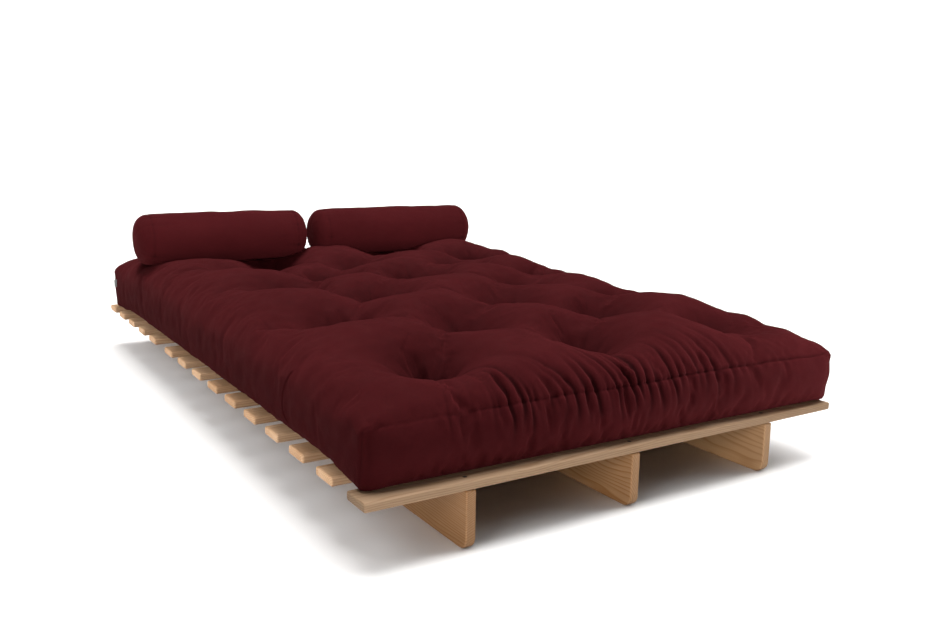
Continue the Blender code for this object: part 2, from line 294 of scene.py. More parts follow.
PINE_PALE = (0.470, 0.310, 0.190)
PINE_WARM = (0.290, 0.150, 0.066)
PINE_KNOT = (0.105, 0.052, 0.025)
BOARD_PITCH = 0.1345  # from slat to slat
RING_WIDTH = 0.0042
HEART_HEIGHT = 0.06  # where the boards' own heart lies, before each one's shift


def pine_material(name, grain, seed):
    """Raw pine sawn along grain ("X" or "Y"), with its rings, fibres, knots and end grain."""
    n = Nodes(name)
    x, y, z = n.split(n.position())
    along, side = (x, y) if grain == "X" else (y, x)
    # each board comes from its own place in the log
    board = n.math("FLOOR", n.math("DIVIDE", side, BOARD_PITCH))
    pick = n.add("TexWhiteNoise", {"Vector": n.join(board, seed, 0.0)}, noise_dimensions="3D")
    shift = n.split(pick.outputs["Color"])
    heart_side = n.times(n.minus(shift[0], 0.5), 0.16)
    heart_up = n.times(n.plus(shift[1], 0.35), 0.10)
    start = n.plus(along, n.times(shift[2], 7.0))
    slow = n.join(n.times(start, 1.3), n.times(side, 6.0), n.times(z, 6.0))
    wander = n.times(n.minus(n.noise(slow, 2.0, 2.0), 0.5), 0.030)
    # knots: branches across the board
    cells = n.join(n.times(start, 3.1), n.times(side, 16.0), n.times(z, 4.0))
    pattern = {"Vector": cells, "Scale": 1.0, "Randomness": 1.0}
    knots = n.add("TexVoronoi", pattern).outputs["Distance"]
    near_knot = n.remap(knots, 0.0, 0.42, 1.0, 0.0)
    near_knot = n.math("POWER", near_knot, 2.5)
    off_side = n.plus(n.minus(side, n.times(board, BOARD_PITCH)), heart_side)
    off_up = n.plus(n.minus(z, HEART_HEIGHT), heart_up)
    radius = n.math("SQRT", n.plus(n.math("POWER", off_side, 2.0), n.math("POWER", off_up, 2.0)))
    radius = n.plus(radius, wander)
    radius = n.plus(radius, n.times(near_knot, 0.016))
    ring = n.math("FRACT", n.math("DIVIDE", radius, RING_WIDTH))
    late = n.ramp(ring, (0.0, 0.05), (0.55, 0.30), (0.86, 1.0), (1.0, 0.05))
    fibre_place = n.join(n.times(start, 9.0), n.times(side, 420.0), n.times(z, 420.0))
    fibre = n.noise(fibre_place, 1.0, 3.0, 0.6)
    blotch = n.noise(n.join(n.times(start, 2.0), n.times(side, 14.0), z), 2.0, 3.0)
    tone = n.plus(n.times(late, 0.42), n.times(fibre, 0.34))
    tone = n.plus(tone, n.times(blotch, 0.40))
    tone = n.plus(tone, n.times(n.minus(shift[2], 0.5), 0.34))
    colour = n.ramp(tone, (0.30, PINE_PALE), (0.86, PINE_WARM))
    heart = n.remap(knots, 0.045, 0.085, 1.0, 0.0)
    colour = n.mix(n.times(heart, 0.75), colour, PINE_KNOT)
    halo = n.remap(knots, 0.08, 0.20, 0.35, 0.0)
    colour = n.mix(halo, colour, PINE_WARM)
    rough = n.remap(fibre, 0.3, 0.7, 0.52, 0.72)
    height = n.plus(n.times(fibre, 0.6), n.times(late, 0.4))
    normal = n.bump(height, 0.0004, 0.6)
    return n.finish(base_color=colour, roughness=rough, normal=normal, specular_ior_level=0.35)


def steel_material():
    n = Nodes("zinc_plated_steel")
    place = n.position()
    grime = n.noise(place, 160.0, 4.0, 0.6)
    colour = n.ramp(grime, (0.30, (0.36, 0.37, 0.38)), (0.70, (0.60, 0.61, 0.62)))
    rough = n.remap(n.noise(place, 420.0, 3.0), 0.3, 0.7, 0.30, 0.48)
    normal = n.bump(grime, 0.0002, 0.4)
    return n.finish(base_color=colour, roughness=rough, normal=normal, metallic=1.0)


def screw_material():
    n = Nodes("blackened_screws")
    grime = n.noise(n.position(), 300.0, 3.0, 0.6)
    colour = n.ramp(grime, (0.30, (0.030, 0.024, 0.020)), (0.70, (0.085, 0.070, 0.058)))
    normal = n.bump(grime, 0.0002, 0.4)
    return n.finish(base_color=colour, roughness=0.5, normal=normal, metallic=0.6)


LABEL_PITCH = 0.0008


def label_material():
    n = Nodes("grey_label")
    _, y, z = n.split(n.position())
    weave = n.times(n.wave(y, LABEL_PITCH), n.wave(z, LABEL_PITCH))
    colour = n.ramp(n.plus(weave, 0.5), (0.0, (0.30, 0.31, 0.32)), (1.0, (0.44, 0.45, 0.46)))
    return n.finish(base_color=colour, roughness=0.85, normal=n.bump(weave, 0.0002, 0.6))


# ---------------------------------------------------------------- camera, floor and light

def direction(azimuth, elevation):
    """Which way azimuth and elevation point, in degrees. Azimuth 0 looks towards the foot, -Y."""
    a, e = math.radians(azimuth), math.radians(elevation)
    return Vector((math.sin(a) * math.cos(e), -math.cos(a) * math.cos(e), math.sin(e)))


def make_camera():
    back = direction(CAMERA_AZIMUTH, CAMERA_ELEVATION)
    data = bpy.data.cameras.new("camera")
    data.lens = LENS
    data.sensor_width = 36.0
    data.clip_start = 0.01
    data.clip_end = 100.0
    camera = bpy.data.objects.new("camera", data)
    camera.matrix_world = (
        Matrix.Translation(AIM + back * AIM_DISTANCE)
        @ (-back).to_track_quat("-Z", "Y").to_matrix().to_4x4()
        @ Matrix.Rotation(math.radians(CAMERA_ROLL), 4, "Z")
    )
    scene.collection.objects.link(camera)
    scene.camera = camera


def make_floor():
    """A white floor. What it throws back onto the object is that of a greyer one."""
    n = Nodes("white_floor")
    soft = n.noise(n.position(), 1.5, 2.0)
    white = n.ramp(soft, (0.3, (0.93, 0.93, 0.935)), (0.7, (0.95, 0.95, 0.955)))
    seen = n.add("LightPath").outputs["Is Camera Ray"]
    colour = n.mix(seen, (0.46, 0.45, 0.44), white)
    material = n.finish(base_color=colour, roughness=0.9, specular_ior_level=0.1)
    mesh = bpy.data.meshes.new("floor")
    bm = bmesh.new()
    bmesh.ops.create_circle(bm, cap_ends=True, radius=40.0, segments=64)
    bm.to_mesh(mesh)
    bm.free()
    mesh.materials.append(material)
    floor = bpy.data.objects.new("floor", mesh)
    scene.collection.objects.link(floor)
    return floor


def add_light(data, source, place=(0, 0, 0)):
    """Puts a light in the scene. source is the way from what it lights towards the light."""
    light = bpy.data.objects.new(data.name, data)
    light.location = place
    light.rotation_mode = "QUATERNION"
    light.rotation_quaternion = source.to_track_quat("Z", "Y")
    scene.collection.objects.link(light)
    return light


def link_light(light, objects, state):
    """The light reaches only these objects, with INCLUDE, or all but these, with EXCLUDE."""
    group = bpy.data.collections.new(light.name + "_targets")
    for number, target in enumerate(objects):
        group.objects.link(target)
        group.collection_objects[number].light_linking.link_state = state
    light.light_linking.receiver_collection = group


def make_world():
    """White to the camera, and a faint even light on the object."""
    world = bpy.data.worlds.new("studio")
    scene.world = world
    world.use_nodes = True
    tree = world.node_tree
    tree.nodes.clear()
    output = tree.nodes.new("ShaderNodeOutputWorld")
    kinds = ("Background", "Background", "MixShader")
    seen, cast, choose = (tree.nodes.new("ShaderNode" + kind) for kind in kinds)
    path = tree.nodes.new("ShaderNodeLightPath")
    seen.inputs["Color"].default_value = (1.0, 1.0, 1.0, 1.0)
    seen.inputs["Strength"].default_value = 1.05
    cast.inputs["Color"].default_value = (0.95, 0.97, 1.0, 1.0)
    cast.inputs["Strength"].default_value = 0.06
    tree.links.new(path.outputs["Is Camera Ray"], choose.inputs[0])
    tree.links.new(cast.outputs[0], choose.inputs[1])
    tree.links.new(seen.outputs[0], choose.inputs[2])
    tree.links.new(choose.outputs[0], output.inputs["Surface"])
    scene.view_settings.view_transform = "Standard"


def make_suns(floor, mattress, bolsters):
    """Soft light from overhead, and reflectors that light only what they are aimed at.

    A row gives azimuth, elevation, width in degrees, and share: what the light adds to the look
    of a white surface that faces it."""
    slats = [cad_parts[n] for n in (*SEAT_SLATS, *BACK_SLATS)]
    planks = [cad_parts[n] for n in PLANKS]
    soft = [mattress, *bolsters]
    rows = (
        ("overhead_left", -95, 64, 38, 0.07, WARM_LIGHT, None, ()),
        ("overhead", 145, 80, 40, 1.00, WARM_LIGHT, "EXCLUDE", soft),
        ("overhead_mattress", 170, 74, 18, 1.14, WARM_LIGHT, "INCLUDE", [mattress]),
        ("overhead_bolsters", 180, 85, 40, 0.72, WARM_LIGHT, "INCLUDE", bolsters),
        ("overhead_right", 95, 64, 38, 0.14, WARM_LIGHT, None, ()),
        ("front_fill", -8, 9, 40, 0.30, WARM_LIGHT, "EXCLUDE", [floor, *planks]),
        ("bolster_fill", -8, 8, 50, 0.98, WARM_LIGHT, "INCLUDE", bolsters),
        ("slat_fill", -80, 16, 40, 1.35, WARM_LIGHT, "INCLUDE", slats),
        ("plank_fill", -50, 10, 50, 0.78, PLANK_LIGHT, "INCLUDE", planks),
        ("floor_left", -90, 35, 60, 0.64, WHITE_LIGHT, "INCLUDE", [floor]),
        ("floor_right", 95, 35, 60, 0.80, WHITE_LIGHT, "INCLUDE", [floor]),
    )
    for name, azimuth, elevation, width, share, colour, state, targets in rows:
        data = bpy.data.lights.new(name, "SUN")
        data.energy = share * math.pi
        data.angle = math.radians(width)
        data.color = colour
        sun = add_light(data, direction(azimuth, elevation))
        if targets:
            link_light(sun, targets, state)


def make_corner_lamp(mattress):
    """A round lamp low on the right, for the mattress's right foot corner."""
    data = bpy.data.lights.new("front_right", "AREA")
    data.shape, data.size = "DISK", 0.45
    data.energy = 8.0
    data.color = WARM_LIGHT
    place, target = Vector((1.15, -1.60, 0.20)), Vector((0.50, -0.98, 0.20))
    link_light(add_light(data, place - target, place), [mattress], "INCLUDE")


# ---------------------------------------------------------------- the mattress as a grid

def tuft_sink(x, y, reach=TUFT_REACH):
    """From 0 to 1, how far the ties pull the surface in at x, y."""
    away = np.hypot(x[..., None] - TUFTS[:, 0], y[..., None] - TUFTS[:, 1])
    return np.clip(np.exp(-((away / reach) ** 1.35)).sum(-1), 0, 1.06)


def ripple(points, wavelength, seed, stretch=(1, 1, 1)):
    """A smooth random wave over points, about -1 to 1."""
    draw = np.random.default_rng(seed)
    total = 0
    for _ in range(7):
        way = draw.normal(size=3)
        way = way / np.linalg.norm(way) / np.array(stretch)
        phase = points @ way * (2 * math.pi / wavelength / draw.uniform(0.7, 1.5))
        total = total + np.sin(phase + draw.uniform(0, 2 * math.pi))
    return total / 3.5


def cover_wrap(tops, sides, rows):
    """The cloth up one side, over the top and down the other: rows of points from foot to head."""
    v = rows[:, None]
    y = FOOT_SEAM + (HEAD_SEAM - FOOT_SEAM) * v
    from_end = np.minimum(y - FOOT_SEAM, HEAD_SEAM - y)
    shoulder = CORNER + (SHOULDER - CORNER) * smooth(from_end / 0.16)
    rim = RIM + RIM_GROWTH * smooth(from_end / 0.20)
    headward = smooth((y - HEADWARD_START) / HEADWARD_LENGTH)
    edge = FOOT_EDGE + HEAD_EDGE_RISE * headward
    edge = edge + EDGE_SWELL * (1 - np.exp(-from_end / 0.11))
    straight = edge - shoulder - rim
    arc_low, arc_high = rim * math.pi / 2, shoulder * math.pi / 2
    s = np.linspace(0, 1, sides + 1)[None, :] * (arc_low + straight + arc_high)
    low = np.clip(s / rim, 0, math.pi / 2)
    high = np.clip((s - arc_low - straight) / shoulder, 0, math.pi / 2)
    inset = rim * (1 - np.sin(low)) + shoulder * (1 - np.cos(high))
    height = rim * (1 - np.cos(low)) + np.clip(s - arc_low, 0, straight) + shoulder * np.sin(high)
    left = np.stack([-HALF_WIDTH + inset, y + 0 * s, height], -1)
    across = np.linspace(-1, 1, tops + 1)[None, :]
    x = across * (HALF_WIDTH - shoulder)
    y_top = y + 0 * x
    in_side = (1 - np.abs(across)) * (HALF_WIDTH - shoulder)
    rise = 1 - np.exp(-((in_side / 0.075) ** 1.15))
    rise = rise * (1 - np.exp(-((from_end / 0.062) ** 1.1)))
    sink = tuft_sink(x + MIDDLE, y_top) * (1 - np.exp(-((from_end / 0.06) ** 2)))
    crown = CROWN - HEAD_CROWN_LOSS * smooth((y - 0.05) / 0.40)
    top = np.stack([x, y_top, edge + crown * rise - TUFT_DEPTH * sink], -1)
    right = left[:, ::-1] * (-1, 1, 1)
    wrap = np.concatenate([left[:, :-1], top, right[:, 1:]], axis=1)
    # the end panels lean in towards the floor, and the foot isn't quite square
    inward = RIM_INSET * (1 - smooth(wrap[..., 2] / edge)) * (1 - smooth(from_end / 0.15))
    wrap[..., 1] += np.where(v < 0.5, inward, -inward)
    near_foot = (1 - smooth((y - FOOT_SEAM) / 0.5)) * (v < 0.5)
    wrap[..., 1] -= FOOT_SKEW * wrap[..., 0] / HALF_WIDTH * near_foot
    wrap[..., 0] += FOOT_FLARE * np.clip(wrap[..., 0] / HALF_WIDTH, 0, 1) * near_foot
    # towards the head it is stuffed higher on the right
    lean = HEAD_LEAN * headward * wrap[..., 0] / HALF_WIDTH
    wrap[..., 2] += lean * np.clip(wrap[..., 2] / edge, 0, 1)
    wrap[..., 0] += MIDDLE
    wrap[..., 2] += REST
    return wrap


def cover_end(row, tops, sides, out):
    """The end panel inside one end row of the wrap. out is -1 at the foot, 1 at the head."""
    left, top, right = row[: sides + 1], row[sides : sides + tops + 1], row[::-1][: sides + 1]
    s = np.linspace(0, 1, tops + 1)[:, None, None]
    t = np.linspace(0, 1, sides + 1)[None, :, None]
    bottom = left[0] + (right[0] - left[0]) * s[:, 0]
    panel = (1 - t) * bottom[:, None] + t * top[:, None] + (1 - s) * left[None] + s * right[None]
    panel -= (1 - s) * (1 - t) * left[0] + s * (1 - t) * right[0]
    panel -= (1 - s) * t * left[-1] + s * t * right[-1]
    around = np.clip(np.minimum(s, 1 - s) / 0.03, 0, 1)[..., 0]
    up = np.clip(t[..., 0] / 0.22, 0, 1)
    down = np.clip((1 - t[..., 0]) / 0.5, 0, 1)
    swell = np.sqrt(1 - (1 - up) ** 2) * smooth(down) * np.sqrt(1 - (1 - around) ** 2)
    panel[..., 1] += out * CAP_BULGE * swell
    return panel


def bottom_height(x, y):
    """The underside: on each slat, sagging a little in the gaps, and pulled up by the ties."""
    gap = np.ones_like(y)
    for low, high in SLAT_BOXES:
        away = np.maximum(low.y - y, y - high.y)
        gap = np.minimum(gap, smooth(away / 0.028))
    return REST - SLAT_SAG * gap + TIE_LIFT * gap * np.clip(tuft_sink(x, y, 0.035), 0, 1)


def closed_mesh(name, points, faces):
    """A smooth-shaded mesh whose faces all look outwards."""
    mesh = bpy.data.meshes.new(name)
    mesh.from_pydata(points.tolist(), [], faces)
    bm = bmesh.new()
    bm.from_mesh(mesh)
    bmesh.ops.recalc_face_normals(bm, faces=bm.faces)
    bm.to_mesh(mesh)
    bm.free()
    mesh.shade_smooth()
    return mesh


def cover_mesh(name, wrap, foot, head, step_x, step_y):
    """One closed mesh from the wrap and its two end panels, with a coarser panel underneath."""
    rows, around = wrap.shape[0] - 1, wrap.shape[1] - 1
    tops, sides = foot.shape[0] - 1, foot.shape[1] - 1
    points = [wrap.reshape(-1, 3)]
    count = wrap.shape[0] * wrap.shape[1]
    wrap_index = np.arange(count).reshape(rows + 1, around + 1)
    faces = []

    def quads(index):
        corners = index[:-1, :-1], index[1:, :-1], index[1:, 1:], index[:-1, 1:]
        faces.extend(np.stack(corners, -1).reshape(-1, 4).tolist())

    quads(wrap_index)
    end_index = []
    for panel, row in ((foot, 0), (head, rows)):
        index = np.empty((tops + 1, sides + 1), int)
        index[1:-1, :-1] = count + np.arange((tops - 1) * sides).reshape(tops - 1, sides)
        index[0, :] = wrap_index[row, : sides + 1]
        index[-1, :] = wrap_index[row, ::-1][: sides + 1]
        index[:, -1] = wrap_index[row, sides : sides + tops + 1]
        points.append(panel[1:-1, :-1].reshape(-1, 3))
        count += (tops - 1) * sides
        quads(index if row else index[::-1])
        end_index.append(index[:, 0])
    # underneath there is a point at every step, and all the rim's points round the edge
    xs, ys = range(0, tops + 1, step_x), range(0, rows + 1, step_y)
    under = {}
    inner = []
    for j in ys:
        for i in xs:
            if j in (0, rows):
                under[i, j] = end_index[0 if j == 0 else 1][i]
            elif i in (0, tops):
                under[i, j] = wrap_index[j, 0 if i == 0 else around]
            else:
                under[i, j] = count + len(inner)
                inner.append(wrap[j, 0] + (wrap[j, -1] - wrap[j, 0]) * i / tops)
    points.append(np.array(inner))
    for j in ys[:-1]:
        for i in xs[:-1]:
            far_x, far_y = i + step_x, j + step_y
            loop = list(end_index[0][i:far_x]) if j == 0 else [under[i, j]]
            loop += list(wrap_index[j:far_y, around]) if far_x == tops else [under[far_x, j]]
            loop += list(end_index[1][far_x:i:-1]) if far_y == rows else [under[far_x, far_y]]
            loop += list(wrap_index[far_y:j:-1, 0]) if i == 0 else [under[i, far_y]]
            faces.append([int(k) for k in loop[::-1]])
    return add_piece(name, closed_mesh(name, np.concatenate(points), faces))


def add_piece(name, mesh):
    piece = bpy.data.objects.new(name, mesh)
    scene.collection.objects.link(piece)
    return piece


def read_vectors(items, key):
    values = np.empty(len(items) * 3)
    items.foreach_get(key, values)
    return values.reshape(-1, 3)


def read_points(mesh):
    return read_vectors(mesh.vertices, "co")


def write_points(mesh, points):
    mesh.vertices.foreach_set("co", points.ravel())
    mesh.update()


def store_painted_shade(mesh, lift, deep, pit=0.0):
    """Keeps how deep each point lies in a seam, crease or pit, as the weight of painted shade: the
    cloth's colour is darkened there.
    """
    depth = np.clip(0.85 * smooth(-lift / deep) + pit, 0, 0.9)
    mesh.attributes.new(PAINTED_SHADE_WEIGHT, "FLOAT", "POINT").data.foreach_set("value", depth)


def read_normals(mesh):
    return read_vectors(mesh.vertex_normals, "vector")


def simulate(piece, pinned, most, pressure, shrink, frames=20):
    """Blows the piece up as cloth, held where pinned is 1, and returns its new points.

    No point moves further than about most metres."""
    start = read_points(piece.data)
    group = piece.vertex_groups.new(name="held")
    for weight in np.unique(pinned[pinned > 0]):
        group.add(np.nonzero(pinned == weight)[0].tolist(), float(weight), "REPLACE")
    cloth = piece.modifiers.new("Cloth", "CLOTH")
    settings = cloth.settings
    settings.quality = 5
    settings.mass = 0.3
    settings.air_damping = 2.0
    settings.tension_stiffness = 12.0
    settings.compression_stiffness = 12.0
    settings.shear_stiffness = 4.0
    settings.bending_stiffness = 0.3
    settings.vertex_group_mass = "held"
    settings.pin_stiffness = 1.0
    settings.shrink_min = shrink
    settings.use_pressure = True
    settings.uniform_pressure_force = pressure
    settings.effector_weights.gravity = 0.0
    cloth.point_cache.frame_start = 1
    cloth.point_cache.frame_end = frames
    for number in range(1, frames + 1):
        scene.frame_set(number)
    settled = piece.evaluated_get(bpy.context.evaluated_depsgraph_get())
    moved = read_points(settled.data) - start
    piece.modifiers.remove(cloth)
    piece.vertex_groups.clear()
    scene.frame_set(1)
    far = np.linalg.norm(moved, axis=1, keepdims=True)
    print(f"cloth {piece.name}: moved up to {far.max():.4f} m, mean {far.mean():.4f}")
    moved *= most / np.maximum(far, 1e-9) * np.tanh(far / most)
    return start + moved


def resample(grid, places, axis):
    """The grid's values between its rows or columns at real-numbered places, on a smooth curve."""
    grid = np.moveaxis(grid, axis, 0)
    last = grid.shape[0] - 1
    base = np.clip(np.floor(places).astype(int), 0, last - 1)
    wide = (...,) + (None,) * (grid.ndim - 1)
    t = (places - base)[wide]
    p0, p1 = grid[np.clip(base - 1, 0, last)], grid[base]
    p2, p3 = grid[base + 1], grid[np.clip(base + 2, 0, last)]
    p0 = np.where((base == 0)[wide], 2 * p1 - p2, p0)
    p3 = np.where((base == last - 1)[wide], 2 * p2 - p1, p3)
    curve = 2 * p1 + (p2 - p0) * t + (2 * p0 - 5 * p1 + 4 * p2 - p3) * t**2
    curve += (3 * p1 - p0 - 3 * p2 + p3) * t**3
    return np.moveaxis(0.5 * curve, 0, axis)


def spread(count, weight):
    """count + 1 places from 0 to 1, closer together where weight is high."""
    t = np.linspace(0, 1, 4001)
    w = weight(t)
    total = np.concatenate([[0], np.cumsum((w[1:] + w[:-1]) / 2)])
    return np.interp(np.linspace(0, total[-1], count + 1), total, t)


SIM_TOPS, SIM_SIDES, SIM_ROWS = 132, 14, 210
FINE_TOPS, FINE_SIDES, FINE_ROWS = 376, 18, 296


def mattress_grids():
    """The mattress's wrap and end panels after the cloth has settled, on the finer grid."""
    wrap = cover_wrap(SIM_TOPS, SIM_SIDES, np.linspace(0, 1, SIM_ROWS + 1))
    wrap[..., 2] += 0.0015 * ripple(wrap, 0.10, 5) * smooth((wrap[..., 2] - 0.20) / 0.05)
    foot = cover_end(wrap[0], SIM_TOPS, SIM_SIDES, -1)
    head = cover_end(wrap[-1], SIM_TOPS, SIM_SIDES, 1)
    start = cover_mesh("mattress_start", wrap, foot, head, 6, 6)
    points = read_points(start.data)
    low = points[:, 2] < REST + 0.003
    away = np.hypot(points[:, None, 0] - TUFTS[:, 0], points[:, None, 1] - TUFTS[:, 1]).min(1)
    tied = (away < 0.008) & (points[:, 2] > DECK + 0.04)
    pinned = np.where(low | tied, 1.0, 0.0)
    wraps = wrap.shape[0] * wrap.shape[1]
    seams = np.zeros(wrap.shape[:2])
    seams[0] = seams[-1] = 0.35
    pinned[:wraps] = np.maximum(pinned[:wraps], seams.ravel())
    settled = simulate(start, pinned, most=0.024, pressure=5.0, shrink=-0.025)
    # the sides are stuffed tighter than the top, so they pucker less
    side = smooth((np.abs(points[:, 0] - MIDDLE) - HALF_WIDTH + 0.035) / 0.03)
    points += (settled - points) * (1 - 0.6 * side[:, None])
    bpy.data.meshes.remove(start.data)
    wrap = points[:wraps].reshape(wrap.shape)
    inner = (SIM_TOPS - 1) * SIM_SIDES
    for number, (panel, row) in enumerate(((foot, wrap[0]), (head, wrap[-1]))):
        first = wraps + number * inner
        panel[1:-1, :-1] = points[first : first + inner].reshape(SIM_TOPS - 1, SIM_SIDES, 3)
        panel[0], panel[-1] = row[: SIM_SIDES + 1], row[::-1][: SIM_SIDES + 1]
        panel[:, -1] = row[SIM_SIDES : SIM_SIDES + SIM_TOPS + 1]
    side = np.linspace(0, SIM_SIDES, FINE_SIDES + 1)
    # columns lie closer together where the foot is gathered, and at the seams
    top = SIM_TOPS * spread(
        FINE_TOPS,
        lambda t: 1 + 1.3 * smooth((t - 0.06) / 0.08) * smooth((0.76 - t) / 0.10)
        + 2 * np.exp(-t / 0.006) + 2 * np.exp((t - 1) / 0.006),
    )
    along = SIM_ROWS * spread(
        FINE_ROWS,
        lambda t: 1.9 - 0.9 * smooth((t - 0.17) / 0.12)
        + 2 * np.exp(-t / 0.006) + 2 * np.exp((t - 1) / 0.006),
    )
    around = np.concatenate([side[:-1], SIM_SIDES + top, SIM_SIDES + SIM_TOPS + side[1:]])
    wrap = resample(resample(wrap, along, 0), around, 1)
    ends = []
    for panel, row in ((foot, wrap[0]), (head, wrap[-1])):
        panel = resample(resample(panel, top, 0), side, 1)
        panel[0], panel[-1] = row[: FINE_SIDES + 1], row[::-1][: FINE_SIDES + 1]
        panel[:, -1] = row[FINE_SIDES : FINE_SIDES + FINE_TOPS + 1]
        ends.append(panel)
    return wrap, ends[0], ends[1]


def press_under_bolsters(points):
    """Pushes the top down to just below each bolster, with a soft roll of cloth round it."""
    for node in BOLSTERS:
        low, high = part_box(node)
        centre, radius = (low + high) / 2, (high.y - low.y) / 2
        off_x = np.abs(points[:, 0] - centre.x) / ((high.x - low.x) / 2)
        thick = radius * np.clip(1 - np.clip((off_x - 0.86) / 0.14, 0, 1) ** 2.5, 0, 1)
        off_y = points[:, 1] - centre.y
        reach = np.sqrt(np.clip(thick**2 - off_y**2, 0, None))
        limit = np.where((reach > 0) & (off_x < 1), centre.z - reach - 0.001, centre.z + 0.05)
        # a smooth minimum, 8 mm wide
        gap = np.clip(0.5 + (points[:, 2] - limit) / 0.016, 0, 1)
        eased = points[:, 2] + (limit - points[:, 2]) * gap - 0.008 * gap * (1 - gap)
        pressed = np.minimum(points[:, 2], eased)
        points[:, 2] = np.where(points[:, 2] > DECK + 0.09, pressed, points[:, 2])


def seam_groove(away):
    """A seam's stitched groove, with the cloth swelling beside it."""
    groove = -0.0026 * np.exp(-((away / 0.0019) ** 2))
    return groove + 0.0005 * np.exp(-(((away - 0.007) / 0.004) ** 2))


def pleat_depth(x, inward, down):
    """The gathers at the foot seam: fine ones at the seam, then longer folds towards the ties.

    inward is how far a point lies in from the seam on the top, and down how far below it."""
    draw = np.random.default_rng(11)
    total = np.zeros_like(x)
    base = -0.45
    while base < 0.26:
        marks = (-0.45, -0.36, -0.28, 0.04, 0.14, 0.26)
        strength = np.interp(base, marks, (0.1, 0.5, 1, 1, 0.7, 0.1))
        depth, width = 0.0024 * strength * draw.uniform(0.35, 1.0), draw.uniform(0.0026, 0.0036)
        fade = np.exp(-inward / draw.uniform(0.010, 0.024) - down / draw.uniform(0.012, 0.035))
        total -= depth * fade * np.exp(-(((x - base) / width) ** 2))
        base += draw.uniform(0.0085, 0.0155)
    base = -0.42
    while base < 0.50:
        marks = (-0.42, -0.34, -0.26, -0.04, 0.12, 0.26, 0.34, 0.50)
        strength = np.interp(base, marks, (0.3, 0.8, 1, 1, 0.9, 0.6, 0.25, 0.15))
        depth = 0.0072 * strength * draw.uniform(0.15, 1.0)
        width = draw.uniform(0.0045, 0.0075)
        aim = TUFTS[0, 0] if base < 0.02 else TUFTS[1, 0]
        pull = 0.9 if base < -0.12 else 0.4
        length, drop = draw.uniform(0.06, 0.19), draw.uniform(0.05, 0.15)
        sway = draw.uniform(-0.10, 0.10)
        path = base + (aim - base) * pull * (inward / 0.20) ** 1.4 + sway * down
        path = path + 0.002 * np.sin(down * 60 + draw.uniform(0, 6))
        off = (x - path) / (width * (1 + 3.5 * inward + 5 * down))
        fade = (1 - smooth(inward / length)) * (1 - smooth(down / drop))
        total += depth * fade * (0.5 * np.exp(-((off / 2.0) ** 2)) - 1.3 * np.exp(-(off**2)))
        base += draw.uniform(0.012, 0.031)
    return total


def tuft_creases(points):
    """Fine folds that run out from each tie."""
    draw = np.random.default_rng(23)
    total = np.zeros(len(points))
    for x, y in TUFTS:
        off_x, off_y = points[:, 0] - x, points[:, 1] - y
        away = np.hypot(off_x, off_y)
        near = np.nonzero(away < 0.16)[0]
        turn = np.arctan2(off_y[near], off_x[near])
        r = away[near]
        angle = draw.uniform(0, 1)
        while angle < 2 * math.pi:
            length = draw.uniform(0.06, 0.15)
            depth = draw.uniform(0.0018, 0.0050)
            bend = draw.uniform(-2.5, 2.5)
            off = (turn - angle - bend * (r - 0.04) + math.pi) % (2 * math.pi) - math.pi
            across = off * r / (0.0052 + 0.03 * r)
            fade = smooth(r / 0.03) * (1 - smooth((r - 0.02) / length))
            profile = 0.5 * np.exp(-((across / 2) ** 2)) - np.exp(-(across**2))
            total[near] += depth * fade * profile
            angle += draw.uniform(0.30, 0.75)
    return total


